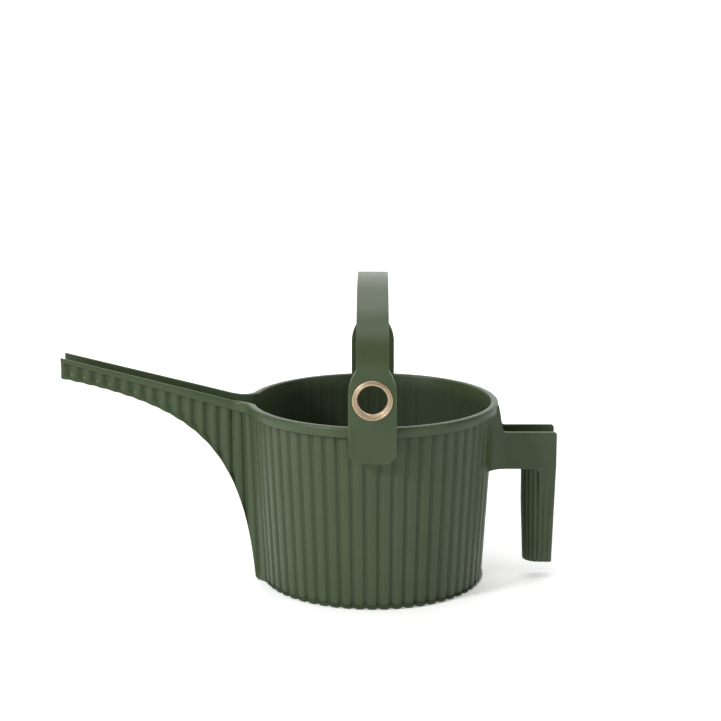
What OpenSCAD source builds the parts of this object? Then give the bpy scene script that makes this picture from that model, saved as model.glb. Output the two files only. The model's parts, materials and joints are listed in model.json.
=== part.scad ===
// Watering can: a ribbed tub moulded in one with its open spout and its rear grip, and a carrying
// bail that swings on two hidden pins. Millimetres, +Z up, spout towards -X, rear grip towards +X.
// The origin is the middle of the base, on the surface that the can stands on.

/* [Tub] */
// Outer diameter of the rim
rim_d = 200; // [160:1:250]
// Height of the rim over the surface the can stands on
tub_h = 146; // [115:1:190]
// Height of the smooth band round the rim
band_h = 8; // [5:0.5:12]
// How far the band stands out from the ribs at its lower edge
band_step = 3; // [2:0.1:5]
// How much further the band leans out at its top edge
band_lean = 0.6; // [0:0.1:1.5]
// How far the wall draws in from the band down to the base
draw_in = 8.4; // [4:0.1:14]
// Wall thickness over the crest of a rib
wall = 2.8; // [2.4:0.1:4]
// Thickness of the floor
floor_t = 2.5; // [1.5:0.1:5]
// Number of ribs round the whole tub
rib_count = 56; // [40:4:72]
// Depth of the grooves between the ribs
rib_depth = 1.3; // [0.6:0.1:1.5]

/* [Spout] */
// Length of the spout beyond the rim
spout_len = 146; // [100:1:200]
// Height of the mouth's top edge above the rim
mouth_rise = 34.8; // [20:0.5:60]
// Height of the channel's side at the mouth
mouth_h = 16.8; // [12:0.2:24]
// Outside width of the channel at the mouth
mouth_w = 24; // [20:0.5:30]
// Outside width of the channel where it leaves the tub, and of the grip's arm
channel_w = 28; // [24:0.5:34]
// Wall thickness of the spout, the arm and the leg
skin = 2.5; // [2:0.1:3.5]
// Height of the smooth strip along the channel's edge at the mouth
mouth_strip = 3.4; // [2:0.2:6]
// How far the keel under the spout stands out from the tub at the base
keel_out = 5.8; // [3:0.2:12]
// Lean of the keel from upright at the base, in degrees
keel_lean = 5; // [0:1:12]
// Slope of the keel at the mouth, in degrees
keel_slope = 11.6; // [6:0.2:20]
// Length of the keel curve's handles, as a share of the distance that the curve spans
keel_pull = 0.49; // [0.3:0.01:0.6]
// Distance from rib to rib along the spout
spout_pitch = 9.87; // [8:0.01:14]
// Distance from the mouth to the first groove
mouth_land = 6.9; // [4:0.1:9]
// Radius of the bend where the rim runs out into the channel and into the arm
root_bend = 18; // [10:1:22]

/* [Rear grip] */
// Distance from the rim out to the end of the arm
arm_len = 46; // [42:1:70]
// Distance from the rim down to the top of the arm
arm_drop = 24; // [16:1:30]
// Height of the arm's sides
arm_h = 30; // [22:1:36]
// Depth of the leg from its nose to its open edge, at the top
leg_d = 28; // [22:0.5:30]
// Length of the leg below the arm
leg_len = 78; // [50:1:80]
// How far the leg's nose draws back at its lower end
nose_draw = 3.2; // [1:0.1:5]
// How far the leg's open edge and its sides draw in at its lower end
edge_draw = 1.6; // [0.5:0.1:3]
// How far the leg is set in from the arm's sides and end
leg_step = 0.5; // [0.2:0.1:1.2]
// Number of ribs round the leg
leg_ribs = 15; // [11:2:21]
// Depth of the grooves between the leg's ribs
leg_rib_depth = 0.7; // [0.3:0.1:1]

/* [Bail] */
// Width of the strap
strap_w = 23.5; // [18:0.5:30]
// Thickness of the strap and of its ears
strap_t = 4; // [3.8:0.1:6]
// Height of the strap's top above the rim
bail_rise = 100; // [85:1:130]
// Height above the rim at which the straight sides turn into the arch
spring_rise = 48; // [46:1:60]
// Width of the ears
ear_w = 36; // [34:1:44]
// Distance from the rim down to the ears' lower edge
ear_drop = 26; // [23:1:32]
// Radius of the ears' lower corners
ear_corner = 9.5; // [4:0.5:16]
// Height above the rim at which the ears start to narrow
shoulder_rise = 26.5; // [18:0.5:30]
// Height that the ears take to narrow to the strap
shoulder_h = 18.5; // [12:0.5:19]
// Gap between the ears' inner faces and the rim
ear_gap = 1; // [0.8:0.1:2]

/* [Pivots] */
// Distance from the rim down to the pivots
pivot_drop = 12; // [10:0.5:14]
// Diameter of the pivot pins
pin_d = 7; // [5:0.5:9]
// Diameter of the bosses that hold the pins
boss_d = 15; // [12:0.5:18]
// Length of pin inside the ear
pin_reach = 2.6; // [1.8:0.1:2.6]
// Radial clearance of a pin in its ear
pin_fit = 0.05; // [0.02:0.01:0.1]
// Gap between a boss and its ear
boss_gap = 0.4; // [0.3:0.1:0.6]
// Length of pin held in the boss
pin_grip = 5; // [3:0.1:5]

/* [Eyelets] */
// Height of the eyelets' centres above the rim
eyelet_rise = 22.3; // [18:0.1:26]
// Outer diameter of an eyelet's flange
eyelet_d = 30.4; // [28:0.2:32]
// Clear bore of an eyelet
eyelet_bore = 22.4; // [18:0.2:24]
// Thickness of the flange
flange_t = 1.3; // [0.8:0.1:2]
// Wall of the sleeve that passes through the ear
sleeve_t = 0.8; // [0.5:0.1:1.2]
// Thickness of the washer behind the ear
washer_t = 0.7; // [0.5:0.1:0.7]
// Outer diameter of the washer
washer_d = 26; // [25:0.2:31]

/* [Hidden] */
$fn = 96;
green = [0.27, 0.36, 0.23];
brass = [0.72, 0.58, 0.42];
nylon = [0.55, 0.57, 0.52];
past = 1;        // how far a cutter runs past the face it cuts
rib_steps = 6;   // straight facets in one rib
curve_steps = 40;
bend_steps = 10;
root_depth = 0.9; // how far into a circle an arm's outline reaches, as a share of its radius

// Tub
rim_r = rim_d / 2;
band_z = tub_h - band_h;
neck_r = rim_r - band_lean - band_step;
foot_r = neck_r - draw_in;
function crest_r(z) = foot_r + draw_in * z / band_z;
function inner_r(z) = crest_r(z) - wall;

// Spout
mouth_x = -(rim_r + spout_len);
mouth_top = tub_h + mouth_rise;
mouth_bottom = mouth_top - mouth_h;
turn_out = 5;            // how far beyond the rim the spout's edge starts to rise
turn_x = -(rim_r + turn_out);
keel_foot_x = -(foot_r + keel_out);
keel_span = norm([mouth_x - keel_foot_x, mouth_bottom]);
keel_pts = [
    [keel_foot_x, 0],
    [keel_foot_x - keel_pull * keel_span * sin(keel_lean), keel_pull * keel_span * cos(keel_lean)],
    [mouth_x + keel_pull * keel_span * cos(keel_slope), mouth_bottom - keel_pull * keel_span * sin(keel_slope)],
    [mouth_x, mouth_bottom]];
side_root = turn_x + 2 * spout_pitch; // the spout's straight sides end here, inside the tub's wall
spout_ribs = floor((turn_x - mouth_x - mouth_land) / spout_pitch) + 1;

// Rear grip
arm_top = tub_h - arm_drop;
arm_bottom = arm_top - arm_h;
arm_end = rim_r + arm_len;
nose_x = arm_end - leg_d;
leg_foot = arm_bottom - leg_len;
half_w = channel_w / 2;
leg_half = half_w - leg_step;
leg_end = arm_end - leg_step;

// Bail
ear_in = rim_r + ear_gap;
ear_out = ear_in + strap_t;
spring_z = tub_h + spring_rise;
bail_top = tub_h + bail_rise;
ear_low = tub_h - ear_drop;
shoulder_z = tub_h + shoulder_rise;

// Pivots and eyelets
pivot_z = tub_h - pivot_drop;
boss_face = ear_in - boss_gap;
pin_tip = ear_in + pin_reach;
pin_root = boss_face - pin_grip;
pin_end_gap = 0.2;
boss_bury = 0.1;  // how far short of the wall's inner face a boss ends
boss_root = inner_r(pivot_z + boss_d / 2) + boss_bury;
eyelet_z = tub_h + eyelet_rise;
bore_r = eyelet_bore / 2;
sleeve_r = bore_r + sleeve_t;
flange_round = 0.6 * flange_t; // radius of the flange's edges

// --- Shapes shared by several parts ---

// A solid through a stack of closed rings of 3D points, each with the same number of points and
// running anticlockwise as seen from above
module skin_rings(rings) {
    n = len(rings[0]);
    last = (len(rings) - 1) * n;
    polyhedron(
        points = [for (ring = rings) each ring],
        faces = concat(
            [[for (i = [0:n - 1]) i]],
            [[for (i = [n - 1:-1:0]) last + i]],
            [for (k = [0:n:last - n]) for (i = [0:n - 1]) each
                [[k + i, k + n + i, k + n + (i + 1) % n], [k + i, k + n + (i + 1) % n, k + (i + 1) % n]]]));
}

function at_height(pts, z) = [for (p = pts) [p.x, p.y, z]];

// A solid between two outlines with the same number of points, at heights z0 and z1
module loft(low, high, z0, z1) {
    skin_rings([at_height(low, z0), at_height(high, z1)]);
}

// How far a scalloped surface lies below its crests, at u ribs from a groove
function scallop(u, depth) = depth * pow(2 * (u - floor(u)) - 1, 2);

// Turns a shape drawn in XY, with Y as height, so that it stands in the XZ plane, thickness along Y
module upright(from_y, to_y) {
    translate([0, to_y, 0]) rotate([90, 0, 0]) linear_extrude(to_y - from_y) children();
}

// The same part on the left side (-Y) or, mirrored, on the right side (+Y)
module on_side(right) {
    if (right) mirror([0, 1, 0]) children();
    else children();
}

// Half of the outline of an arm that leaves a circle of radius r with a bend, from well inside the
// circle outwards: the bend's centre lies root_r beside the arm's side and root_r outside the circle
function arm_side(r, half, root_r, end_x) =
    let (reach = r + root_r, off = half + root_r, cx = sqrt(reach * reach - off * off),
         a = asin(off / reach))
    concat(
        [root_depth * r * [cos(a), sin(a)]],
        [for (i = [0:bend_steps]) let (t = -90 - (90 - a) * (1 - i / bend_steps))
            [cx + root_r * cos(t), off + root_r * sin(t)]],
        [[end_x, half]]);

function flip_y(pts) = [for (i = [len(pts) - 1:-1:0]) [pts[i].x, -pts[i].y]];

// --- Tub ---

function rib_ring(r, depth) = [for (i = [0:rib_count * rib_steps - 1])
    let (u = i / rib_steps, a = 360 * (u - 0.5) / rib_count, q = r - scallop(u, depth))
    [q * sin(a), -q * cos(a)]];

// The tub's outside up to the band, filled in
module tub_outside() {
    loft(rib_ring(crest_r(0), rib_depth), rib_ring(crest_r(band_z), rib_depth), 0, band_z);
}

// Ribbed wall, rim band and floor in one shell
module bucket() {
    skin_rings([
        at_height(rib_ring(crest_r(0), rib_depth), 0),
        at_height(rib_ring(crest_r(band_z), rib_depth), band_z),
        at_height(rib_ring(rim_r - band_lean, 0), band_z),
        at_height(rib_ring(rim_r, 0), tub_h),
        at_height(rib_ring(inner_r(tub_h), 0), tub_h),
        at_height(rib_ring(inner_r(floor_t), 0), floor_t)]);
}

module rim_band() {
    translate([0, 0, band_z])
        cylinder(r1 = rim_r - band_lean, r2 = rim_r, h = band_h);
}

module tub_inside() {
    translate([0, 0, floor_t])
        cylinder(r1 = inner_r(floor_t), r2 = inner_r(tub_h + past), h = tub_h + past - floor_t);
}

module boss(right) {
    on_side(right) translate([0, -boss_face, pivot_z]) rotate([-90, 0, 0])
        cylinder(d = boss_d, h = boss_face - boss_root);
}

module boss_bore(right) {
    on_side(right) translate([0, -boss_face - past, pivot_z]) rotate([-90, 0, 0])
        cylinder(d = pin_d, h = past + pin_grip);
}

module tub() {
    color(green) difference() {
        union() {
            bucket();
            for (right = [false, true]) boss(right);
        }
        channel_inside();
        for (right = [false, true]) boss_bore(right);
    }
}

// --- Spout ---

function bezier(p, t) = pow(1 - t, 3) * p[0] + 3 * t * pow(1 - t, 2) * p[1]
    + 3 * t * t * (1 - t) * p[2] + pow(t, 3) * p[3];
function bezier_way(p, t) = pow(1 - t, 2) * (p[1] - p[0]) + 2 * t * (1 - t) * (p[2] - p[1])
    + t * t * (p[3] - p[2]);
// A point of the keel at t, moved towards the channel by d
function keel(t, d = 0) = let (w = bezier_way(keel_pts, t)) bezier(keel_pts, t) + d * [w.y, -w.x] / norm(w);
function keel_line(d) = [for (i = [0:curve_steps]) keel(i / curve_steps, d)];

// Half the channel's outside width at x
function spout_half(x) = mouth_w / 2 + (half_w - mouth_w / 2) * (x - mouth_x) / (turn_x - mouth_x);
// Height of the spout's top edge at x, at one slope out to the mouth
function edge_z(x) = tub_h + mouth_rise * (turn_x - x) / (turn_x - mouth_x);
// Height of the smooth strip under the top edge at x
function strip_h(x) = mouth_strip + (band_h - mouth_strip) * (x - mouth_x) / (turn_x - mouth_x);

// Outline of the spout in plan, with or without ribs on its sides
module spout_plan(ribbed) {
    steps = ribbed ? spout_ribs * rib_steps : 0;
    side = concat([[mouth_x, -spout_half(mouth_x)]],
        [for (i = [0:1:steps]) if (ribbed)
            let (x = mouth_x + mouth_land + i * spout_pitch / rib_steps)
            [x, -spout_half(x) + scallop(i / rib_steps, rib_depth)]],
        [[side_root, -half_w]]);
    polygon(concat(side, flip_y(side)));
}

// Inside of the channel, from the tub out through the open mouth
module channel_inside() {
    in_x = -inner_r(0) + past;
    inner = keel_line(skin);
    intersection() {
        linear_extrude(mouth_top + past) polygon([
            [mouth_x - past, skin - spout_half(mouth_x)], [turn_x, skin - half_w], [in_x, skin - half_w],
            [in_x, half_w - skin], [turn_x, half_w - skin], [mouth_x - past, spout_half(mouth_x) - skin]]);
        upright(-half_w, half_w) polygon(concat(
            [[in_x, floor_t], [inner[1].x, floor_t]],
            [for (i = [1:curve_steps]) if (inner[i].y > floor_t) inner[i]],
            [[mouth_x - past, inner[curve_steps].y], [mouth_x - past, mouth_top + past], [in_x, mouth_top + past]]));
    }
}

module spout() {
    outer = keel_line(0);
    root_x = -foot_r + wall;
    color(green) difference() {
        union() {
            intersection() {
                linear_extrude(mouth_top) spout_plan(true);
                upright(-half_w, half_w) polygon(concat(
                    [[root_x, 0]], outer,
                    [[mouth_x, edge_z(mouth_x) - strip_h(mouth_x)], [turn_x, band_z], [root_x, band_z]]));
            }
            intersection() {
                linear_extrude(mouth_top) spout_plan(false);
                upright(-half_w, half_w) polygon([
                    [mouth_x, edge_z(mouth_x) - strip_h(mouth_x)], [mouth_x, edge_z(mouth_x)],
                    [turn_x, tub_h], [root_x, tub_h], [root_x, band_z], [turn_x, band_z]]);
            }
            spout_root();
        }
        tub_outside();
        rim_band();
        channel_inside();
        tub_inside();
    }
}

// The band bends out of the rim into the channel's sides
module spout_root() {
    side = arm_side(rim_r - band_lean, half_w, root_bend, -turn_x);
    translate([0, 0, band_z]) mirror([1, 0, 0]) linear_extrude(band_h)
        polygon(concat(side, flip_y(side)));
}

// --- Rear grip ---

// Outside of the leg in plan: a ribbed nose and sides, with its open edge at end
function leg_outline(nose, end, half, ribs, depth) =
    let (flat = end - nose - half, bow = PI * half, run = 2 * flat + bow, n = ribs * rib_steps)
    [for (i = [0:n]) let (s = run * i / n, q = scallop(i / rib_steps, depth),
        a = min(max((s - flat) / bow, 0), 1) * 180, along = s < flat ? flat - s : s - flat - bow)
        a <= 0 ? [nose + half + along, half - q]
        : a >= 180 ? [nose + half + along, -half + q]
        : [nose + half - (half - q) * sin(a), (half - q) * cos(a)]];

module leg_outside() {
    loft(leg_outline(nose_x + nose_draw, leg_end - edge_draw, leg_half - edge_draw, leg_ribs, leg_rib_depth),
         leg_outline(nose_x, leg_end, leg_half, leg_ribs, leg_rib_depth), leg_foot, arm_bottom);
}

// The hollow down the leg, open along its rear edge and into the arm
module leg_inside() {
    inset = skin + leg_rib_depth;
    loft(leg_outline(nose_x + nose_draw + inset, arm_end + past, leg_half - edge_draw - inset, leg_ribs, 0),
         leg_outline(nose_x + inset, arm_end + past, leg_half - inset, leg_ribs, 0),
         leg_foot - past, arm_top + past);
}

module arm_outside() {
    side = arm_side(neck_r, half_w, root_bend, arm_end);
    loop = concat(side, flip_y(side));
    translate([0, 0, arm_bottom]) linear_extrude(arm_h) polygon(loop);
    // the root rises up the tub's wall to the band
    translate([0, 0, arm_bottom]) linear_extrude(band_z - arm_bottom) intersection() {
        polygon(loop);
        circle(r = rim_r - band_lean);
    }
}

module arm_inside() {
    side = arm_side(neck_r - skin, half_w - skin, root_bend + skin, arm_end + past);
    translate([0, 0, arm_bottom + skin]) linear_extrude(arm_h + past) difference() {
        polygon(concat(side, flip_y(side)));
        circle(r = rim_r);
    }
}

// The arm: a channel open on top, from the tub's wall out to the leg
module grip_arm() {
    color(green) difference() {
        arm_outside();
        tub_outside();
        arm_inside();
        leg_inside();
    }
}

// The leg hangs from the underside of the arm
module grip_leg() {
    color(green) difference() {
        leg_outside();
        leg_inside();
    }
}

// --- Bail ---

// Front view of the strap: straight sides and an arch of half an ellipse
module strap_outline(half, top) {
    polygon(concat(
        [[half, shoulder_z]],
        [for (i = [0:2 * curve_steps]) let (a = 180 * i / (2 * curve_steps))
            [half * cos(a), spring_z + (top - spring_z) * sin(a)]],
        [[-half, shoulder_z]]));
}

// Side view of an ear: round lower corners, straight sides, shoulders that narrow to the strap
module ear_outline() {
    corner = [for (i = [0:bend_steps]) let (a = -90 + 90 * i / bend_steps)
        [ear_w / 2 - ear_corner + ear_corner * cos(a), ear_low + ear_corner + ear_corner * sin(a)]];
    shoulder = [for (i = [0:bend_steps]) let (t = i / bend_steps)
        [strap_w / 2 + (ear_w - strap_w) / 4 * (1 + cos(180 * t)), shoulder_z + shoulder_h * t]];
    side = concat(corner, shoulder);
    polygon(concat(side, [for (i = [len(side) - 1:-1:0]) [-side[i].x, side[i].y]]));
}

module bail() {
    color(green) difference() {
        union() {
            translate([-strap_w / 2, 0, 0]) rotate([90, 0, 90]) linear_extrude(strap_w) difference() {
                strap_outline(ear_out, bail_top);
                strap_outline(ear_in, bail_top - strap_t);
                translate([-ear_in, shoulder_z - past]) square([2 * ear_in, 2 * past]);
            }
            for (right = [false, true]) on_side(right) upright(-ear_out, -ear_in) ear_outline();
        }
        for (right = [false, true]) on_side(right) {
            translate([0, -ear_out - past, eyelet_z]) rotate([-90, 0, 0])
                cylinder(r = sleeve_r, h = strap_t + 2 * past);
            translate([0, -pin_tip - pin_end_gap, pivot_z]) rotate([-90, 0, 0])
                cylinder(r = pin_d / 2 + pin_fit, h = pin_reach + pin_end_gap + past);
        }
    }
}

// --- Eyelets and pins ---

// Flange with a rounded face on the outside of the ear, and a sleeve through it to the washer
module eyelet(right) {
    corner = [for (i = [0:bend_steps]) let (a = 90 * i / bend_steps)
        [eyelet_d / 2 - flange_round + flange_round * cos(a), flange_t - flange_round + flange_round * sin(a)]];
    inner = [for (i = [0:bend_steps]) let (a = 90 + 90 * i / bend_steps)
        [bore_r + flange_round + flange_round * cos(a), flange_t - flange_round + flange_round * sin(a)]];
    color(brass) on_side(right) translate([0, -ear_out, eyelet_z]) rotate([90, 0, 0])
        rotate_extrude() polygon(concat(
            [[eyelet_d / 2, 0]], corner, inner,
            [[bore_r, -strap_t - washer_t], [sleeve_r, -strap_t - washer_t], [sleeve_r, 0]]));
}

module eyelet_washer(right) {
    color(brass) on_side(right) translate([0, -ear_in, eyelet_z]) rotate([-90, 0, 0]) difference() {
        cylinder(d = washer_d, h = washer_t);
        translate([0, 0, -past]) cylinder(r = sleeve_r, h = washer_t + 2 * past);
    }
}

module pivot_pin(right) {
    color(nylon) on_side(right) translate([0, -pin_tip, pivot_z]) rotate([-90, 0, 0])
        cylinder(d = pin_d, h = pin_tip - pin_root);
}

tub();
spout();
grip_arm();
grip_leg();
bail();
eyelet(false);  // eyelet_left
eyelet(true);  // eyelet_right
eyelet_washer(false);  // eyelet_washer_left
eyelet_washer(true);  // eyelet_washer_right
pivot_pin(false);  // pivot_pin_left
pivot_pin(true);  // pivot_pin_right
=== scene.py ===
import json
from math import asin, atan2, cos, pi, radians, sin, sqrt

import bmesh
import bpy
import numpy as np
from mathutils import Matrix, Vector


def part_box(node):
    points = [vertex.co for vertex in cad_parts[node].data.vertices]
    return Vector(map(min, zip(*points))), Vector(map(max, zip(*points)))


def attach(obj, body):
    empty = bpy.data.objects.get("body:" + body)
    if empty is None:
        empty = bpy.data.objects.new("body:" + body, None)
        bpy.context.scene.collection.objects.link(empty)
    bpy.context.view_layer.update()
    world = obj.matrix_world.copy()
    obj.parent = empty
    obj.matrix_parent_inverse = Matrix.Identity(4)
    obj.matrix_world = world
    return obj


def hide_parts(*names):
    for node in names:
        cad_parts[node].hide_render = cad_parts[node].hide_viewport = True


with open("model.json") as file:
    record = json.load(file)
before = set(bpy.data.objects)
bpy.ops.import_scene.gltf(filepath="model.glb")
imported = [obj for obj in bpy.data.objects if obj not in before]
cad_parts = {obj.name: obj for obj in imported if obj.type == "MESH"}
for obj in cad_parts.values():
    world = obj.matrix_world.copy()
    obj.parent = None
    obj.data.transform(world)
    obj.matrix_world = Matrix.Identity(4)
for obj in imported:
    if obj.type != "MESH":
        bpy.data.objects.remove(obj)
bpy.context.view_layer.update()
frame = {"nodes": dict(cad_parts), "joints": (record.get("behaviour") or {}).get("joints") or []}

MM = 0.001          # shapes are worked out in millimetres; the scene is in metres

# ---------------------------------------------------------------------------------------------
# Green plastic
# Everything green is one satin polypropylene, coloured in the mass: a very fine moulded grain,
# faint clouds and flow lines in the colour, paler and smoother edges that are partly wear where hands
# rub and partly a painted highlight, painted shade in the grooves and corners, and painted shade on
# the wall inside the tub, which is also rougher there.
# ---------------------------------------------------------------------------------------------


class Wire:
    """A node's output socket, so that shader maths can be written as Python expressions."""

    def __init__(self, tree, out):
        self.tree, self.out = tree, out

    def node(self, kind, settings=None, **values):
        """Adds a node: its settings first, then the values or links of its sockets."""
        made = self.tree.nodes.new("ShaderNode" + kind)
        for name, value in (settings or {}).items():
            setattr(made, name, value)
        for name, value in values.items():
            name = name.replace("_", " ")
            socket = made.inputs[int(name[1:])] if name[1:].isdigit() else made.inputs[name]
            if isinstance(value, Wire):
                self.tree.links.new(value.out, socket)
            else:
                socket.default_value = value
        return made

    def take(self, made, name=0):
        return Wire(self.tree, made.outputs[name])

    def maths(self, operation, *values):
        return self.take(self.node("Math", {"operation": operation},
                                   **{f"i{n}": v for n, v in enumerate(values)}))

    def __add__(self, other):
        return self.maths("ADD", self, other)

    def __radd__(self, other):
        return self.maths("ADD", other, self)

    def __sub__(self, other):
        return self.maths("SUBTRACT", self, other)

    def __rsub__(self, other):
        return self.maths("SUBTRACT", other, self)

    def __mul__(self, other):
        return self.maths("MULTIPLY", self, other)

    def __rmul__(self, other):
        return self.maths("MULTIPLY", other, self)

    def __pow__(self, other):
        return self.maths("POWER", self, other)

    def clamped(self, low=0.0, high=1.0):
        return self.take(self.node("Clamp", Value=self, Min=low, Max=high))

    def step(self, low, high):
        """0 below low, 1 above high, smooth between."""
        return self.take(self.node("MapRange", {"interpolation_type": "SMOOTHSTEP"},
                                   Value=self, From_Min=low, From_Max=high))

    def mixed(self, a, b):
        """Colour a where this mask is 0, colour b where it is 1."""
        return self.take(self.node("Mix", {"data_type": "RGBA"}, i0=self, i6=a, i7=b), 2)

    def scaled(self, vector, by):
        return self.take(self.node("VectorMath", {"operation": "MULTIPLY"}, i0=vector, i1=by))

    def noise(self, vector, scale, detail=3.0, rough=0.5):
        """Noise from 0 to 1 about 0.5. The scale is in features to the metre."""
        return self.take(self.node("TexNoise", Vector=vector, Scale=scale, Detail=detail,
                                   Roughness=rough))

    def edges(self, radius):
        """1 on outer and inner edges sharper than the radius, 0 on open surfaces."""
        soft = self.take(self.node("Bevel", {"samples": 6}, Radius=radius))
        true = self.take(self.node("NewGeometry"), "Normal")
        turn = self.take(self.node("VectorMath", {"operation": "DOT_PRODUCT"}, i0=soft, i1=true), 1)
        return (1.0 - turn).step(0.006, 0.14)

    def hollows(self, reach):
        """0 on open surfaces, up to 1 in grooves and corners of the same piece, seen within the reach."""
        open_sky = self.node("AmbientOcclusion", {"samples": 8, "only_local": True}, Distance=reach)
        return 1.0 - self.take(open_sky, "AO")


def material(name):
    """A new node material: itself, its shader, the object's own coordinates and a wire to start from."""
    made = bpy.data.materials.new(name)
    made.use_nodes = True
    tree = made.node_tree
    shader = tree.nodes["Principled BSDF"]
    start = Wire(tree, tree.nodes.new("ShaderNodeTexCoord").outputs["Object"])
    return made, shader, start


def plug(shader, **values):
    """Links or sets the shader's sockets."""
    for name, value in values.items():
        socket = shader.inputs[name.replace("_", " ")]
        if isinstance(value, Wire):
            value.tree.links.new(value.out, socket)
        else:
            socket.default_value = value


green, shader, at = material("green_plastic")
GREEN = (0.0530, 0.0785, 0.0355, 1)
GREEN_DEEP = (0.0465, 0.0700, 0.0300, 1)
GREEN_PALE = (0.0720, 0.0990, 0.0520, 1)
GREEN_WEAR_AND_HIGHLIGHT = (0.1300, 0.1650, 0.1020, 1)
GREEN_PAINTED_SHADE = (0.0190, 0.0290, 0.0130, 1)
rim_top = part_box("tub")[1].z
inner_foot_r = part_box("tub")[1].x - 0.0157     # the tub's inner wall at its foot, and how it leans out
wall_lean = 0.0609
spout_run = 0.141                              # the spout's top edge rises from here to the mouth
spout_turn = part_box("spout")[0].x + spout_run
spout_rise = (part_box("spout")[1].z - rim_top) / spout_run
clouds = at.noise(at, 26, 4, 0.55)
flow = at.noise(at.scaled(at, (60, 60, 9)), 1.0, 3, 0.5)
mottle = (0.62 * clouds + 0.38 * flow).step(0.36, 0.66)
body_colour = mottle.mixed(GREEN_DEEP, GREEN)
specks = at.noise(at, 2300, 2, 0.6).step(0.62, 0.76)
body_colour = (0.35 * specks).mixed(body_colour, GREEN_PALE)
place = at.node("SeparateXYZ", i0=at)
out_x, out_y, height = at.take(place, 0), at.take(place, 1), at.take(place, 2)
spout_edge = (spout_turn - out_x) * spout_rise + rim_top
# No wear and no painted edge highlight below the edge on the spout, where the grooved wall is thin enough to
# look like an edge
thin_wall = (spout_edge - height).step(0.0014, 0.0022) * (0.0 - out_x).step(0.100, 0.104)
# Paler edges: partly wear where hands rub, partly a painted highlight where rounded edges catch the light
wear_and_edge_highlight = at.edges(0.0014) * (0.25 + 0.75 * at.noise(at, 210, 4, 0.6).step(0.36, 0.62)) * (1.0 - thin_wall)
body_colour = (0.62 * wear_and_edge_highlight).mixed(body_colour, GREEN_WEAR_AND_HIGHLIGHT)
# Painted shade: darker in the grooves, in corners and under the rim band, where shade falls
painted_groove_shade = at.hollows(0.006).step(0.015, 0.34) * (0.85 + 0.15 * clouds)
body_colour = (0.62 * painted_groove_shade).mixed(body_colour, GREEN_PAINTED_SHADE)
# Painted shade inside: the tub's inner wall below the rim is darkened and made rougher, but not in the spout
from_axis = (out_x ** 2.0 + out_y ** 2.0) ** 0.5
wall_line = height * wall_lean + inner_foot_r
painted_inside_shade = (1.0 - (from_axis - wall_line).step(0.0012, 0.0018)) * out_x.step(-0.092, -0.066)
painted_inside_shade = painted_inside_shade * (rim_top - height).step(0.0002, 0.016) * (0.9 + 0.1 * clouds)
body_colour = (0.66 * painted_inside_shade).mixed(body_colour, GREEN_PAINTED_SHADE)
rubs = at.noise(at.scaled(at, (160, 160, 34)), 1.0, 4, 0.7).step(0.56, 0.80)
plug(shader, Base_Color=body_colour,
     Roughness=(0.38 + 0.07 * clouds + 0.05 * rubs - 0.07 * wear_and_edge_highlight + 0.25 * painted_inside_shade).clamped(0.2, 0.8))
grain = at.noise(at, 1500, 3, 0.62)
orange_peel = at.noise(at, 150, 2, 0.5)
relief = 0.6 * grain + 0.4 * orange_peel
bump = at.take(at.node("Bump", Strength=0.16, Distance=0.00022, Height=relief))
plug(shader, Normal=bump, Specular_IOR_Level=0.32, IOR=1.49)

# ---------------------------------------------------------------------------------------------
# Tub and spout
# One injection moulding: a tapered tub with upright ribs, a smooth rim band that runs out as the
# edge of the open spout, and a smooth keel plate under the spout that carries down to the base.
# ---------------------------------------------------------------------------------------------
tub_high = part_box("tub")[1] / MM
spout_low, spout_high = (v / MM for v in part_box("spout"))
rim_z = tub_high.z
band_h = 8.0
band_z = rim_z - band_h
rim_r = tub_high.x
band_lean, band_step, draw_in, wall_t, floor_t = 0.6, 3.0, 8.4, 2.8, 2.5
neck_r = rim_r - band_lean - band_step
foot_r = neck_r - draw_in
ribs_round, rib_depth = 56, 1.6
spout_extra = 0.3         # how much deeper the spout's grooves are
groove_w, crown = 0.56, 0.14   # groove's share of a rib's pitch; share of the depth in the rib's crown
mouth_x, mouth_top = spout_low.x, spout_high.z
mouth_bottom = mouth_top - 16.8
mouth_half, side_half = 12.0, 14.0
skin = 2.5
mouth_strip = 3.4
root_bend = 18.0
turn_x, turn_soft = mouth_x + spout_run / MM, 7.0
root_x = turn_x - 8.6     # where the spout's sides reach their full width
spout_pitch, mouth_land = 9.87, 6.9
keel_foot = -(foot_r + 5.8)
keel_lean, keel_slope, keel_pull, keel_toe = radians(5), radians(11.6), 0.49, 3.4
keel_steps = 720
side_ribs = 13            # grooves from the mouth to where the tub's own count starts
blend_from, blend_over = 11.0, 4.0     # the grooves over which the spout's wall becomes the tub's
keel_run_in = 5.0         # height over which the spout's ribs rise out of the keel's smooth edge
strip_stand = 0.35        # how far the spout's smooth edge stands out from its ribs
rib_at = (0.0, 0.045, 0.09, 0.14, 0.19, 0.24, 0.29, 0.39, 0.5, 0.61, 0.71, 0.76, 0.81, 0.86, 0.91, 0.955)
rib_lift = 1.1            # how much shorter the grooves are than the ribs at the tub's foot
edge_round, inner_round, foot_round, lip_round = 2.3, 1.4, 0.9, 0.7
thin_round = 0.85         # rounding of the spout's thin edges
keel_wave = 0.5           # how far the spout's ribs show below its keel plate
inner_ribs, flute_run_in = 0.3, 14.0   # depth of the faint flutes inside, and where they fade in
channel_bend, floor_bend = 1.4, 4.0    # inner corner at the foot of the spout's and the tub's wall

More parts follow.
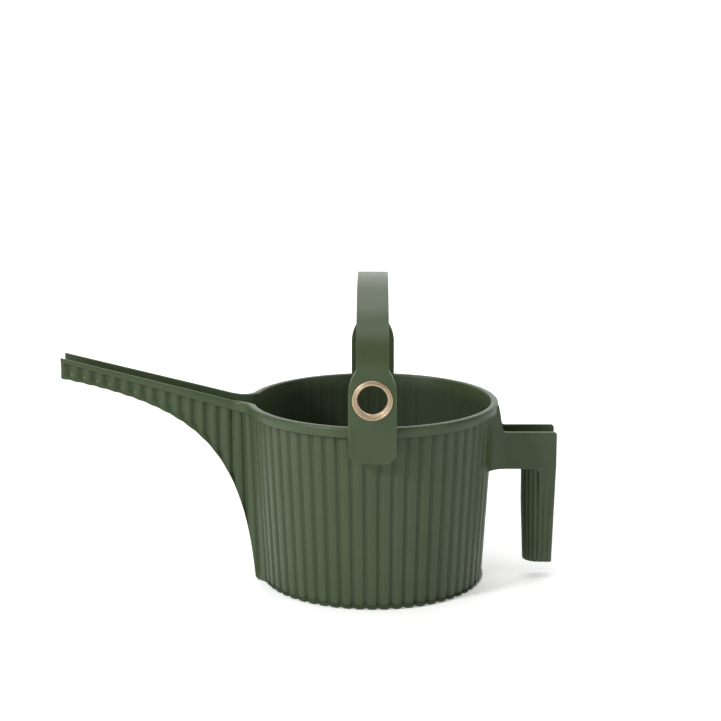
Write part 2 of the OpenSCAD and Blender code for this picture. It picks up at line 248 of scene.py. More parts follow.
span = sqrt((mouth_x - keel_foot) ** 2 + mouth_bottom ** 2)
keel_p = np.array([
    (keel_foot, 0),
    (keel_foot - keel_pull * span * sin(keel_lean), keel_pull * span * cos(keel_lean)),
    (mouth_x + keel_pull * span * cos(keel_slope), mouth_bottom - keel_pull * span * sin(keel_slope)),
    (mouth_x, mouth_bottom)])
keel_t = np.linspace(0, 1, keel_steps + 1)[:, None]
keel_curve = ((1 - keel_t) ** 3 * keel_p[0] + 3 * keel_t * (1 - keel_t) ** 2 * keel_p[1]
              + 3 * keel_t ** 2 * (1 - keel_t) * keel_p[2] + keel_t ** 3 * keel_p[3])
# The keel's toe is rounded where it meets the ground
toe = np.clip(keel_toe - keel_curve[:, 1], 0, keel_toe)
keel_curve[:, 0] += keel_toe - np.sqrt(keel_toe ** 2 - toe ** 2)
keel_way = np.gradient(keel_curve, axis=0)
keel_way /= np.linalg.norm(keel_way, axis=1)[:, None]
keel_in = keel_curve + skin * np.stack([keel_way[:, 1], -keel_way[:, 0]], 1)
keel_in = keel_in[keel_in[:, 1] > floor_t - 1]


def crest_r(z):
    """Radius of the tub over its ribs at height z."""
    return foot_r + draw_in * min(z, band_z) / band_z


def half_at(x):
    """Half the spout's outside width at x."""
    return mouth_half + (side_half - mouth_half) * min(1.0, (x - mouth_x) / (root_x - mouth_x))


def edge_z(x):
    """Height of the top edge: level round the tub, rising along the spout, with a soft turn."""
    t = turn_x - x
    rise = 0 if t < -turn_soft else t if t > turn_soft else (t + turn_soft) ** 2 / (4 * turn_soft)
    return rim_z + (mouth_top - rim_z) * rise / (turn_x - mouth_x)


def strip_at(x):
    """Height of the smooth strip along the edge: the rim's band, lower towards the mouth."""
    share = min(1.0, max(0.0, (x - mouth_x) / (turn_x - mouth_x)))
    return mouth_strip + (band_h - mouth_strip) * share


def plan(w, r, inset, bend):
    """Point and outward normal of an outline at w ribs from the spout's first groove: the spout's
    side, a concave bend of radius bend, then the tub's circle of radius r. It is the near side."""
    half = side_half - inset
    reach, off = r + bend, half + bend
    cx = sqrt(reach * reach - off * off)
    x0 = mouth_x + mouth_land
    w_side = (-cx - x0) / spout_pitch
    w_tub = side_ribs + 0.5 + asin(off / reach) * ribs_round / (2 * pi)
    if w <= w_side:
        x = x0 + w * spout_pitch
        return np.array([x, -(half_at(x) - inset)]), np.array([0.0, -1.0])
    if w >= w_tub:
        a = (w - side_ribs - 0.5) * 2 * pi / ribs_round
        n = np.array([-cos(a), -sin(a)])
        return r * n, n
    turn = atan2(cx, off) * (w - w_side) / (w_tub - w_side)
    n = np.array([-sin(turn), -cos(turn)])
    return np.array([-cx, -off]) - bend * n, n


def groove(w):
    """How far a ribbed face lies below its crests, from 0 to 1: soft ribs and rounded grooves."""
    d = 1 - abs(2 * (w - np.floor(w)) - 1)      # 0 in the groove, 1 on the crest
    t = min(1.0, d / groove_w)
    return crown * (1 - d) ** 2 + (1 - crown) * (1 - t * t * (3 - 2 * t))


def keel_height(w, curve, place):
    """Height at which a column of the wall meets the keel, or the curve's lowest height."""
    def beyond(z):
        return place(w, z)[0][0] < np.interp(z, curve[:, 1], curve[:, 0])
    low, high = curve[0, 1] if curve is keel_curve else floor_t, curve[-1, 1]
    if not beyond(low):
        return low
    for _ in range(40):
        mid = (low + high) / 2
        low, high = (mid, high) if beyond(mid) else (low, mid)
    return high


def rib_place(w, z):
    """Point and normal of the outside, over the ribs."""
    return plan(w, crest_r(z), 0, root_bend)


def inner_place(w, z):
    """Point and normal of the inside."""
    return plan(w, foot_r + draw_in * z / band_z - wall_t, skin, root_bend - skin)


def first_clear(curve, place, z):
    """The w at which the keel's foot meets the wall at height z."""
    low, high = side_ribs - 2.0, side_ribs + 8.0
    x = np.interp(z, curve[:, 1], curve[:, 0])
    for _ in range(50):
        mid = (low + high) / 2
        low, high = (mid, high) if place(mid, z)[0][0] < x else (low, mid)
    return high


w_foot = first_clear(keel_curve, rib_place, 0.0)
w_floor = first_clear(keel_in, inner_place, floor_t)
w_mouth, w_back = -mouth_land / spout_pitch, side_ribs + 0.5 + ribs_round / 2
w_all = [k + f for k in range(-1, side_ribs + ribs_round // 2 + 1) for f in rib_at]
w_all = sorted(set([w_mouth, w_back, w_foot, w_floor]
                   + [w for w in w_all if w_mouth + 0.06 < w < w_back - 0.01]))
w_all = [w for n, w in enumerate(w_all) if w in (w_mouth, w_back, w_foot, w_floor)
         or min(abs(w - w_foot), abs(w - w_floor)) > 0.02]

wall_rows, inner_rows = 26, 14
rounding = [(1 - cos(a), 1 - sin(a)) for a in np.linspace(0, pi / 2, 4)]  # (inset, drop) of an edge


def column(w):
    """One column of the moulding's wall, from the foot up the outside, over the rim and down the
    inside, as points of the near side."""
    col = []
    top_x = plan(w, rim_r, 0, root_bend)[0][0]
    z_edge = edge_z(top_x)
    z_strip = z_edge - strip_at(top_x)
    z_foot = keel_height(w, keel_curve, rib_place)
    on_tub = min(1.0, max(0.0, (w - blend_from) / blend_over))
    off_keel = min(1.0, max(0.0, w - w_foot))
    wave = 0.5 + 0.5 * cos(2 * pi * w)            # the spout's ribs are plain soft waves
    dip = groove(w) * on_tub + wave * (1 - on_tub)
    drop = (rib_depth + spout_extra * (1 - on_tub)) * dip
    z_foot += rib_lift * dip * off_keel + keel_wave * wave * (1 - on_tub)
    outer_top = thin_round + (edge_round - thin_round) * on_tub
    inner_top_round = thin_round + (inner_round - thin_round) * on_tub
    set_in = strip_stand * (1 - on_tub)

    def put(place, z, inset=0.0):
        p, n = place
        p = p - n * inset
        col.append((p[0], p[1], z))

    for inset, lift in rounding[::-1]:
        z = z_foot + foot_round * lift
        put(rib_place(w, z), z, drop * off_keel + foot_round * inset)
    for k in range(1, wall_rows + 1):
        z = z_foot + foot_round + (z_strip - z_foot - foot_round) * k / wall_rows
        run_in = min(1.0, off_keel + (z - z_foot - foot_round) / keel_run_in)
        put(rib_place(w, z), z, (drop + set_in) * run_in)
    for inset, lift in rounding[::-1]:
        z = z_strip + lip_round * lift
        share = (z - z_strip) / (z_edge - z_strip)
        put(plan(w, rim_r - band_lean * (1 - share), 0, root_bend), z, lip_round * inset)
    for inset, lift in rounding:
        z = z_edge - outer_top * lift
        share = (z - z_strip) / (z_edge - z_strip)
        put(plan(w, rim_r - band_lean * (1 - share), 0, root_bend), z, outer_top * inset)
    inner_top = plan(w, foot_r + draw_in * rim_z / band_z - wall_t, skin, root_bend - skin)
    for inset, lift in rounding[::-1]:
        put(inner_top, z_edge - inner_top_round * lift, -inner_top_round * inset)
    z_floor = keel_height(w, keel_in, inner_place)
    bend_in = min(floor_bend, channel_bend + max(0.0, w - w_floor) * 2)
    last = z_floor + bend_in
    for k in range(1, inner_rows + 1):
        z = z_edge - inner_top_round + (last - z_edge + inner_top_round) * k / inner_rows
        flute = inner_ribs * groove(w) * on_tub * min(1.0, (z_edge - z) / flute_run_in)
        put(inner_place(w, min(z, rim_z)), z, flute)
    for inset, lift in rounding[1:]:
        z = z_floor + bend_in * lift
        put(inner_place(w, z), z, -bend_in * inset)
    return col


def mesh_piece(name, verts, faces, scale=MM):
    """A new object with this mesh, linked into the scene."""
    data = bpy.data.meshes.new(name)
    data.from_pydata([tuple(scale * float(c) for c in v) for v in verts], [], faces)
    data.validate()
    made = bpy.data.objects.new(name, data)
    bpy.context.scene.collection.objects.link(made)
    return made


def outward(piece):
    """Merges doubled points and turns every face outwards."""
    work = bmesh.new()
    work.from_mesh(piece.data)
    bmesh.ops.remove_doubles(work, verts=work.verts, dist=1e-6)
    bmesh.ops.recalc_face_normals(work, faces=work.faces)
    work.to_mesh(piece.data)
    work.free()


def smooth(piece, angle):
    """Smooth shading, with edges sharper than the angle kept crisp."""
    for face in piece.data.polygons:
        face.use_smooth = True
    piece.data.set_sharp_from_angle(angle=radians(angle))


near = np.array([column(w) for w in w_all])      # column, row, xyz
rows = near.shape[1]
far = near[-2::-1] * np.array([1, -1, 1])
wall = np.concatenate([near, far])
columns = len(wall)
verts = wall.reshape(-1, 3).tolist()
faces = []


def vert(c, r):
    return c * rows + r


for c in range(columns - 1):
    for r in range(rows - 1):
        faces.append((vert(c, r), vert(c + 1, r), vert(c + 1, r + 1), vert(c, r + 1)))


def bridge(row, w_end, across, lift):
    """Joins a row of the near side to the far side, out to w_end, with across strips whose inner
    points are set to height lift(x, z), and returns the lines of points across."""
    stop = w_all.index(w_end)
    lines = []
    for c in range(stop + 1):
        a, b = vert(c, row), vert(columns - 1 - c, row)
        line = [a]
        for k in range(1, across):
            p = np.array(verts[a]) * (1 - k / across) + np.array(verts[b]) * k / across
            p[2] = lift(p[0], p[2])
            line.append(len(verts))
            verts.append(p.tolist())
        lines.append(line + [b])
    for c in range(stop):
        for k in range(across):
            faces.append((lines[c][k], lines[c + 1][k], lines[c + 1][k + 1], lines[c][k + 1]))
    return lines


def close_round(loop, rings):
    """Fills a loop of points inwards with rings of (share of the radius, height), then a fan."""
    for share, z in rings:
        new = []
        for i in loop:
            x, y, _ = verts[i]
            new.append(len(verts))
            verts.append([x * share, y * share, z])
        for k in range(len(loop)):
            n = (k + 1) % len(loop)
            faces.append((loop[k], loop[n], new[n], new[k]))
        loop = new
    verts.append([0, 0, rings[-1][1]])
    for k in range(len(loop)):
        faces.append((loop[k], loop[(k + 1) % len(loop)], len(verts) - 1))


def inward(ring, by):
    """The ring moved by that much into the wall that it goes round."""
    p = np.array(ring)[:, :2]
    way = np.roll(p, -1, 0) - np.roll(p, 1, 0)
    area = np.sum(p[:, 0] * np.roll(p[:, 1], -1) - np.roll(p[:, 0], -1) * p[:, 1])
    n = np.stack([-way[:, 1], way[:, 0]], 1) * np.sign(area)
    n /= np.maximum(1e-9, np.linalg.norm(n, axis=1))[:, None]
    return p + n * by


# Under the can: the keel plate, then the foot ring and the base, which is set up a little
keel_lines = bridge(0, w_foot, 8, lambda x, z: max(0.0, np.interp(-x, -keel_curve[:, 0], keel_curve[:, 1])))
foot_loop = [vert(c, 0) for c in range(w_all.index(w_foot), columns - w_all.index(w_foot))]
foot_loop += keel_lines[-1][-2:0:-1]
close_round(foot_loop, [(0.982, 0.0), (0.955, 0.0), (0.948, 0.25), (0.94, 0.9), (0.93, 1.0),
                        (0.7, 1.0), (0.45, 1.0), (0.2, 1.0), (0.09, 1.0), (0.085, 0.5), (0.03, 0.5)])
# Inside: the channel's bottom, then the floor
floor_lines = bridge(rows - 1, w_floor, 8, lambda x, z: z)
floor_loop = [vert(c, rows - 1) for c in range(w_all.index(w_floor), columns - w_all.index(w_floor))]
floor_loop += floor_lines[-1][-2:0:-1]
close_round(floor_loop, [(0.96, floor_t), (0.8, floor_t), (0.5, floor_t), (0.2, floor_t)])

# The mouth's end face: the section of the channel, drawn in with a small rounding
section = [vert(0, r) for r in range(rows)] + floor_lines[0][1:-1]
section += [vert(columns - 1, r) for r in range(rows - 1, -1, -1)] + keel_lines[0][-2:0:-1]
yz = [verts[i][1:] for i in section]
mouth_round = 0.55
for i in section:
    verts[i][0] += mouth_round
loop = section
for inset, drop in rounding[1:]:
    new = []
    for y, z in inward(yz, mouth_round * inset):
        new.append(len(verts))
        verts.append([mouth_x + mouth_round * drop, y, z])
    for k in range(len(loop)):
        n = (k + 1) % len(loop)
        faces.append((loop[k], loop[n], new[n], new[k]))
    loop = new
faces.append(tuple(loop))

moulding = mesh_piece("tub_and_spout", verts, faces)
outward(moulding)
smooth(moulding, 38)
moulding.data.materials.append(green)
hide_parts("tub", "spout")
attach(moulding, "can")

# ---------------------------------------------------------------------------------------------
# Pivot bosses
# Two round bosses moulded on the outside of the wall under the rim, in one with the tub. Each has a
# softened face and holds the nylon pin that an ear of the bail turns on; the ears hide them.
# ---------------------------------------------------------------------------------------------
pivot_z = frame["joints"][0]["pos_m"][2] / MM
boss_r, boss_face, boss_deep = 7.5, tub_high.y, 5.2
boss_bore, boss_mouth, boss_edge = 3.6, 4.1, 0.6


def lathe(name, profile, steps=96):
    """A turned ring about the Y axis, from a closed profile of (radius, y) points."""
    verts = [(r * cos(a), y, r * sin(a))
             for a in np.linspace(0, 2 * pi, steps, endpoint=False) for r, y in profile]
    n = len(profile)
    faces = [(s * n + k, s * n + (k + 1) % n, (s + 1) % steps * n + (k + 1) % n, (s + 1) % steps * n + k)
             for s in range(steps) for k in range(n)]
    made = mesh_piece(name, verts, faces)
    outward(made)
    return made


for side, name in ((-1, "boss_left"), (1, "boss_right")):
    profile = [(boss_bore, boss_face - 4), (boss_bore, boss_face - 0.5), (boss_mouth, boss_face),
               (boss_r - boss_edge, boss_face), (boss_r - 0.3 * boss_edge, boss_face - 0.3 * boss_edge),
               (boss_r, boss_face - boss_edge), (boss_r, boss_face - boss_deep),
               (boss_bore, boss_face - boss_deep)]
    piece = lathe(name, [(r, side * y) for r, y in profile])
    piece.data.transform(Matrix.Translation((0, 0, pivot_z * MM)))
    smooth(piece, 30)
    piece.data.materials.append(green)
    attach(piece, "can")

# ---------------------------------------------------------------------------------------------
# Rear grip
# Moulded in one with the tub: a deep arm, a channel open on top, leaves the wall in concave bends
# that climb to the rim band; from its end hangs a ribbed leg, hollow and open at the back.
# ---------------------------------------------------------------------------------------------
arm_end, leg_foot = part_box("grip_arm")[1].x / MM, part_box("grip_leg")[0].z / MM
arm_top, arm_low = rim_z - 24.0, rim_z - 54.0
arm_half, root_in = side_half, 0.88    # the arm's root goes in to this share of the tub's radius
web_r = rim_r + 3.6                    # the wall that closes the channel against the tub
climb = ((99.4, 144.8), (101.0, 144.0), (102.2, 137.5), (103.3, 130.1), (104.0, 125.2), (104.9, 122.6),
         (106.6, 122.0))               # radius and height of the arm's edge as it climbs to the band
corner_r = 2.4                         # round top corner at the arm's end
leg_half, leg_end = 13.95, arm_end - 0.05
leg_nose, nose_draw, edge_draw = arm_end - 28.0, 3.2, 2.1
leg_ribs, leg_depth = 15, 0.75
leg_wall = skin + 0.7
leg_lip = 0.7                          # rounding of the leg's two rear edges
flat_share, flat_stand = 0.8, 0.8      # on the flat sides: share of that depth; stand of the plain top
fade_from, fade_over = 0.04, 0.34      # shares of the leg's length over which those ribs fade in
arm_cap = 6.0                          # how far the cutters run past the arm's end
nose_blend = 0.9                       # length over which the nose's ribs change to the sides'
grip_edge = 0.6                        # rounding of the arm's edges


def arm_side(z, inset, end, bends=18):
    """One side of the arm in plan at height z, from inside the wall out to its end."""
    r, half, bend = crest_r(z) - inset, arm_half - inset, root_bend + inset
    reach, off = r + bend, half + bend
    cx = sqrt(reach * reach - off * off)
    pts = [(root_in * r * cx / reach, -root_in * r * off / reach)]
    for t in np.linspace(atan2(cx, off), 0, bends):
        pts.append((cx - bend * sin(t), -off + bend * cos(t)))
    run = [cx + (end - corner_r - cx) * k / 4 for k in (1, 2, 3, 4)]
    run += [end - corner_r + corner_r * sin(a) for a in np.linspace(pi / 12, pi / 2, 6)]
    return pts + [(x, -half) for x in run]


def arm_edge(x, y):
    """Height of the arm's top edge."""
    fall = corner_r - sqrt(max(0.0, corner_r ** 2 - max(0.0, x - arm_end + corner_r) ** 2))
    return np.interp(sqrt(x * x + y * y), *zip(*climb)) - fall


def bar(name, sections):
    """A solid through rings of points, closed with a face at each end."""
    n = len(sections[0])
    verts = [p for ring in sections for p in ring]
    faces = [tuple(range(n)), tuple(range(len(verts) - n, len(verts)))]
    for s in range(len(sections) - 1):
        for k in range(n):
            faces.append((s * n + k, s * n + (k + 1) % n, (s + 1) * n + (k + 1) % n, (s + 1) * n + k))
    made = mesh_piece(name, verts, faces)
    outward(made)
    return made


def settle(piece):
    """Applies the piece's modifiers to its mesh."""
    bpy.context.view_layer.update()
    graph = bpy.context.evaluated_depsgraph_get()
    done = bpy.data.meshes.new_from_object(piece.evaluated_get(graph))
    piece.modifiers.clear()
    piece.data = done


def cut(piece, *tools):
    """Takes the tools' shapes out of the piece and removes the tools."""
    for tool in tools:
        carve = piece.modifiers.new("cut", "BOOLEAN")
        carve.operation, carve.solver, carve.object = "DIFFERENCE", "EXACT", tool
        settle(piece)
        bpy.data.objects.remove(tool)


def rounded(piece, width, segments=3, angle=35):
    """Rounds the edges sharper than the angle and shades the piece smoothly."""
    bevel = piece.modifiers.new("edges", "BEVEL")
    bevel.width, bevel.segments, bevel.limit_method = width * MM, segments, "ANGLE"
    bevel.angle_limit = radians(angle)
    settle(piece)
    for face in piece.data.polygons:
        face.use_smooth = True
    weighted = piece.modifiers.new("normals", "WEIGHTED_NORMAL")
    weighted.keep_sharp, weighted.weight = True, 80
    settle(piece)


def arm_sections(inset, end, low, top, levels):
    """Sections across the arm from its root to its end, between height low and the edge's top."""
    paths = [arm_side(z, inset, end) for z in levels]
    sections = []
    for k in range(len(paths[0])):
        edge = top(*arm_side(arm_top, inset, end)[k])
        side = []
        for z, path in zip(levels, paths):
            share = (z - levels[0]) / (levels[-1] - levels[0])
            side.append((*path[k], low + (edge - low) * share))
        sections.append(side + [(x, -y, z) for x, y, z in side[::-1]])
    return sections


levels = np.linspace(arm_low, arm_top, 6)
arm = bar("arm_channel", arm_sections(0, arm_end, arm_low, arm_edge, levels))
cavity = bar("cavity", arm_sections(skin, arm_end + arm_cap, arm_low + skin,
                                    lambda x, y: rim_z + 10, levels))
around = [(cos(a), sin(a)) for a in np.linspace(0, 2 * pi, 256, endpoint=False)]
cut(cavity, bar("web", [[(web_r * x, web_r * y, z) for x, y in around] for z in (60, 170)]))
cut(arm, bar("inside", [[(q * x, q * y, z) for x, y in around]
                        for z, q in ((60, crest_r(60) - 2.0), (band_z, neck_r - 2.0), (170, neck_r - 2.0))]))


def leg_outline(nose, end, half, depth, steps, flat_depth=0.0, step_in=0.0):
    """Plan of the leg from its near edge round the nose to the far one, with ribs of depth on the
    nose and flat_depth on the flat sides; the nose may stand back from those by step_in."""
    flat = end - nose - half
    bow = pi * half
    pts = []
    for w in [k + f for k in range(leg_ribs) for f in steps] + [leg_ribs]:
        s = (2 * flat + bow) * w / leg_ribs
        a = min(max((s - flat) / bow, 0), 1) * pi
        on_nose = min(1.0, max(0.0, (min(s, 2 * flat + bow - s) - flat) / nose_blend + 0.5))
        q = groove(w) * (flat_depth + (depth - flat_depth) * on_nose) + step_in * on_nose
        along = flat - s if s < flat else s - flat - bow if a >= pi else 0
        pts.append((nose + half + along - (half - q) * sin(a), -(half - q) * cos(a)))
    return pts


def leg_ring(share, z):
    """Closed plan of the leg's wall at a share of the way down to its foot."""
    nose, end = leg_nose + nose_draw * share, leg_end - edge_draw * share
    half = leg_half - edge_draw * share
    fade = min(1.0, max(0.0, (share - fade_from) / fade_over))
    outer = leg_outline(nose, end, half, leg_depth, rib_at, flat_share * leg_depth * fade,
                        flat_stand * (1 - fade))
    inner = leg_outline(nose + leg_wall, end, half - leg_wall, 0, (0, 0.25, 0.5, 0.75))
    y_out, y_in = -outer[0][1], half - leg_wall
    lip = [(end - leg_lip * drop, y_out - leg_lip * inset) for inset, drop in rounding]
    lip += [(end - leg_lip * inset, y_in + leg_lip * drop) for inset, drop in rounding]
    trim, hold = outer[5:-5], inner[1:-1]      # without the points that the lip's rounding replaces
    ring = trim + lip + hold[::-1] + [(x, -y) for x, y in lip[::-1]]
    return [(x, y, z) for x, y in ring]


foot_edge, leg_rows = 0.7, 24
stack = []
for inset, drop in rounding[::-1]:
    z = leg_foot + foot_edge * drop
    ring = leg_ring(1.0, z)
    stack.append([(x, y, z) for x, y in inward(ring, foot_edge * inset)])
leg_top = arm_low + skin / 2
for k in range(1, leg_rows + 1):
    z = leg_foot + foot_edge + (leg_top - leg_foot - foot_edge) * k / leg_rows
    stack.append(leg_ring(1 - k / leg_rows, z))
leg = bar("ribbed_leg", stack)
smooth(leg, 38)
floor_lip = 0.3                        # the arm's floor stands a little proud of the leg's hollow
hollow = leg_outline(leg_nose + leg_wall + floor_lip, arm_end + arm_cap, leg_half - leg_wall - floor_lip,
                     0, (0, 0.25, 0.5, 0.75))
cut(arm, cavity, bar("hollow", [[(x, y, z) for x, y in hollow] for z in (arm_low - 3, arm_low + skin + 2)]))
rounded(arm, grip_edge)
# Small webs in the corners between the arm's underside and the leg's flat sides
cheek_x, cheek_round = leg_nose + leg_half + 0.4, 4.5
cheek_in, cheek_out, cheek_sink = 12.7, 13.93, 0.8
web_xz = [(cheek_x + 1.5, arm_low + cheek_sink), (cheek_x + 1.5, arm_low - cheek_round - 1.0)]
web_xz += [(cheek_x - cheek_round * (1 - cos(a)), arm_low - cheek_round * (1 - sin(a)))
           for a in np.linspace(0, pi / 2, 9)]
web_xz += [(cheek_x - cheek_round, arm_low + cheek_sink)]
webs = []
for side, word in ((-1, "left"), (1, "right")):
    web = bar("cheek_web_" + word, [[(x, side * y, z) for x, z in web_xz] for y in (cheek_in, cheek_out)])
    smooth(web, 30)
    webs.append(web)
for piece in (arm, leg, *webs):
    piece.data.materials.clear()
    piece.data.materials.append(green)
    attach(piece, "can")
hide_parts("grip_arm")
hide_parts("grip_leg")

# ---------------------------------------------------------------------------------------------
# Bail
# The carrying strap: one flat moulded band of the same plastic that arches over the tub, a little
# narrower at the top, and widens into an ear on each side. Its edges have a small even rounding.
# ---------------------------------------------------------------------------------------------
bail_low, bail_high = (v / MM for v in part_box("bail"))
ear_out, ear_low, bail_top = bail_high.y, bail_low.z, bail_high.z
strap_t, spring_z = 4.0, rim_z + 48.0
ear_half, ear_corner = 18.0, 9.5
shoulder_z, shoulder_h = rim_z + 26.5, 18.5
neck_half, crown_half = 12.2, 12.0
hole_r, eyelet_z = 12.0, rim_z + 22.3
socket_r, socket_skin = 3.55, 1.2      # blind socket for the pivot pin, and the skin left outside it
strap_edge = 0.75                      # rounding of the bail's edges
arch_half = 64                         # sections in each half of the arch


def strap_half(z, along):
    """Half the bail's width; along is 0 where the ear ends and 1 at the very top."""
    if z < ear_low + ear_corner:
        return ear_half - ear_corner + sqrt(max(0, ear_corner ** 2 - (ear_low + ear_corner - z) ** 2))
    neck = neck_half + (crown_half - neck_half) * along
    spread = [max(0.0, 1 - max(0.0, (z + d - shoulder_z) / (0.95 * shoulder_h)) ** 2) ** 0.9
              for d in (-1.6, -0.8, 0, 0.8, 1.6)]
    return neck + (ear_half - neck) * sum(spread) / len(spread)


ear_z = [ear_low + ear_corner * (1 - cos(a)) for a in np.linspace(0, pi / 2, 14)]
ear_z += [ear_low + ear_corner + (shoulder_z - ear_low - ear_corner) * k / 6 for k in range(1, 7)]
ear_z += [shoulder_z + shoulder_h * k / 24 for k in range(1, 25)] + [spring_z]
rings = [[(-ear_out, z), (-ear_out + strap_t, z), strap_half(z, 0)] for z in ear_z]
for k in range(1, 2 * arch_half):
    a = pi * k / (2 * arch_half)
    across, up = cos(a), sin(a)
    rings.append([(-ear_out * across, spring_z + (bail_top - spring_z) * up),
                  ((strap_t - ear_out) * across, spring_z + (bail_top - strap_t - spring_z) * up),
                  strap_half(bail_top, 1 - abs(1 - k / arch_half))])
rings += [[(-a[0], a[1]), (-b[0], b[1]), h] for a, b, h in rings[len(ear_z) - 1::-1]]
bail = bar("bail_strap", [[(-h, *a), (h, *a), (h, *b), (-h, *b)] for a, b, h in rings])
rounded(bail, strap_edge, 4, 50)


def drum(name, r, z, y0, y1, steps=96):
    """A round cutter along Y."""
    return bar(name, [[(r * cos(a), y, z + r * sin(a)) for a in np.linspace(0, 2 * pi, steps, endpoint=False)]
                      for y in (y0, y1)])


for side in (-1, 1):
    cut(bail, drum("hole", hole_r, eyelet_z, side * (ear_out + 1), side * (ear_out - strap_t - 1)),
        drum("socket", socket_r, pivot_z, side * (ear_out - strap_t - 1), side * (ear_out - socket_skin)))
bail.data.materials.clear()
bail.data.materials.append(green)
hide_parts("bail")
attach(bail, "bail")

# ---------------------------------------------------------------------------------------------
# Eyelets
# A pale brass eyelet is pressed through each ear: a flange with two fine beads outside, a drawn
# sleeve, and a washer set over its end on the inside. Turned and satin, brighter where it is rubbed.
# ---------------------------------------------------------------------------------------------
brass, shader, at = material("brass")
BRASS, BRASS_DULL = (0.500, 0.385, 0.255, 1), (0.390, 0.285, 0.180, 1)
BRASS_RUBBED, BRASS_DARK = (0.640, 0.520, 0.380, 1), (0.200, 0.145, 0.090, 1)
middle = at.take(at.node("VectorMath", {"operation": "SUBTRACT"}, i0=at, i1=(0, 0, eyelet_z * MM)))
parts = middle.node("SeparateXYZ", i0=middle)
from_middle = (middle.take(parts, 0) ** 2.0 + middle.take(parts, 2) ** 2.0) ** 0.5
turned = at.take(at.node("CombineXYZ", X=from_middle * 5200.0, Y=middle.take(parts, 0) * 60.0,
                         Z=middle.take(parts, 2) * 60.0))
lines = turned.noise(turned, 1.0, 3, 0.6)
tarnish = at.noise(at, 320, 4, 0.65).step(0.42, 0.72)
rub = at.edges(0.0004)
tone = (0.55 * tarnish).mixed(BRASS, BRASS_DULL)
tone = (0.5 * rub).mixed(tone, BRASS_RUBBED)
tone = (0.22 * lines).mixed(tone, BRASS_RUBBED)
tone = (0.75 * at.hollows(0.0012).step(0.05, 0.45)).mixed(tone, BRASS_DARK)
plug(shader, Base_Color=tone, Metallic=1.0, Roughness=(0.40 + 0.10 * lines + 0.10 * tarnish).clamped())
plug(shader, Normal=at.take(at.node("Bump", Strength=0.25, Distance=0.00006, Height=lines)))

eyelet_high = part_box("eyelet_right")[1] / MM
flange_r, flange_y = eyelet_high.x, eyelet_high.y
bore_r = 11.2
washer_low, washer_high = (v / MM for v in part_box("eyelet_washer_right"))
washer_r, washer_in, washer_out = washer_high.x, washer_low.y, washer_high.y

flange = [(flange_r, ear_out), (flange_r, ear_out + 0.45), (flange_r - 0.12, ear_out + 0.72),
          (flange_r - 0.38, ear_out + 0.97), (flange_r - 0.8, flange_y - 0.12),
          (flange_r - 1.15, flange_y - 0.02), (flange_r - 1.4, flange_y - 0.03),
          (flange_r - 1.6, flange_y - 0.16), (flange_r - 1.8, flange_y - 0.32),
          (flange_r - 2.0, flange_y - 0.16), (flange_r - 2.2, flange_y - 0.03), (flange_r - 2.5, flange_y),
          (bore_r + 0.95, flange_y - 0.1), (bore_r + 0.5, flange_y - 0.35), (bore_r + 0.15, flange_y - 0.8),
          (bore_r, flange_y - 1.4), (bore_r, washer_in + 0.5), (bore_r + 0.06, washer_in + 0.2),
          (bore_r + 0.22, washer_in + 0.04), (bore_r + 0.4, washer_in), (hole_r - 0.12, washer_in),
          (hole_r - 0.03, washer_in + 0.1), (hole_r - 0.02, ear_out)]
ring = [(hole_r, washer_out), (hole_r, washer_in + 0.16), (hole_r + 0.12, washer_in + 0.03),
        (hole_r + 0.3, washer_in), (washer_r - 0.35, washer_in), (washer_r - 0.1, washer_in + 0.1),
        (washer_r, washer_in + 0.32), (washer_r, washer_out)]
metal = (("eyelet_flange", flange, "eyelet_"), ("eyelet_back", ring, "eyelet_washer_"))
for side, word in ((-1, "left"), (1, "right")):
    for kind, profile, node in metal:
        piece = lathe(f"{kind}_{word}", [(r, side * y) for r, y in profile], 144)
        piece.data.transform(Matrix.Translation((0, 0, eyelet_z * MM)))
        smooth(piece, 40)
        piece.data.materials.append(brass)
        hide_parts(node + word)
        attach(piece, "bail")

# ---------------------------------------------------------------------------------------------
# Pivot pins
# Plain turned nylon pins, pressed into the bosses and hidden by the ears. The shapes from the frame
# stay and get the look of dull, slightly scuffed nylon.
# ---------------------------------------------------------------------------------------------
nylon, shader, at = material("pin_plastic")
scuff = at.noise(at, 900, 3, 0.6)
plug(shader, Base_Color=scuff.step(0.4, 0.7).mixed((0.26, 0.27, 0.24, 1), (0.33, 0.34, 0.31, 1)),
     Roughness=(0.42 + 0.16 * scuff).clamped(),
     Normal=at.take(at.node("Bump", Strength=0.2, Distance=0.0001, Height=scuff)))
for word in ("left", "right"):
    pin = frame["nodes"]["pivot_pin_" + word]
    pin.data.materials.clear()
    pin.data.materials.append(nylon)

# ---------------------------------------------------------------------------------------------
# Camera, light and floor
# A plain white sweep in a studio: a small soft key high on the left, a weak broad fill on the right,
# a soft top light, a strip high behind that draws the bright line along the rim and the strap, and a
# wide light on the back wall.
# ---------------------------------------------------------------------------------------------
camera = bpy.data.objects.new("camera", bpy.data.cameras.new("camera"))
bpy.context.scene.collection.objects.link(camera)
camera.data.sensor_width = 36
camera.data.lens = 90.0
camera.data.clip_end = 50
camera.location = (0.0016, -1.4, 0.4668623)
camera.rotation_euler = (pi / 2 - 0.2042, 0, 0.00805)
bpy.context.scene.camera = camera

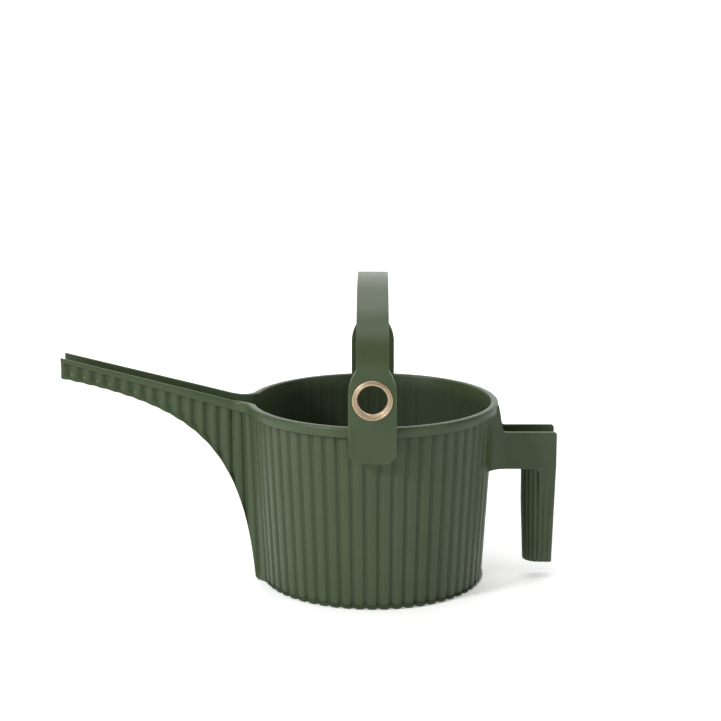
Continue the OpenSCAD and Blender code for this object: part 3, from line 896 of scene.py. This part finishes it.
sweep_r, sweep_back, sweep_front, sweep_half = 0.8, 2.2, 30.0, 12.0
profile = [(-sweep_front, 0)]
profile += [(sweep_back + sweep_r * sin(a), sweep_r * (1 - cos(a))) for a in np.linspace(0, pi / 2, 24)]
profile += [(sweep_back + sweep_r, 4.0)]
verts = [(x, y, z) for y, z in profile for x in (-sweep_half, sweep_half)]
faces = [(2 * k, 2 * k + 1, 2 * k + 3, 2 * k + 2) for k in range(len(profile) - 1)]
sweep = mesh_piece("sweep", verts, faces, scale=1.0)
smooth(sweep, 60)
paper, shader, at = material("white_sweep")
plug(shader, Base_Color=at.noise(at, 3.0, 2).mixed((0.86, 0.86, 0.855, 1), (0.88, 0.88, 0.875, 1)),
     Roughness=0.9, Emission_Color=(1, 1, 1, 1), Emission_Strength=0.36)
sweep.data.materials.append(paper)


def soft_light(name, place, aim, size, power):
    """A rectangular area light of this size in metres and power in watts, turned towards aim."""
    lamp = bpy.data.lights.new(name, "AREA")
    lamp.shape, lamp.size, lamp.size_y = "RECTANGLE", size[0], size[1]
    lamp.energy = power
    made = bpy.data.objects.new(name, lamp)
    made.location = place
    made.rotation_euler = (Vector(aim) - Vector(place)).to_track_quat("-Z", "Y").to_euler()
    bpy.context.scene.collection.objects.link(made)


soft_light("key", (-1.5, -1.2, 1.25), (0, 0, 0.10), (0.4, 0.4), 34)
soft_light("fill", (1.7, -1.2, 0.7), (0, 0, 0.10), (1.0, 0.8), 5)
soft_light("top", (0.0, -0.25, 1.5), (0, 0, 0.12), (0.9, 0.6), 6)
soft_light("back", (0.0, 0.75, 1.55), (0, 0, 0.12), (1.6, 0.5), 10)
soft_light("backdrop", (0.0, 1.3, 1.6), (0, 3.0, 0.6), (2.4, 0.6), 42)
world = bpy.data.worlds.new("studio")
bpy.context.scene.world = world
world.use_nodes = True
background = world.node_tree.nodes["Background"]
background.inputs["Color"].default_value = (1, 1, 1, 1)
background.inputs["Strength"].default_value = 0.12
bpy.context.scene.view_settings.view_transform = "Standard"
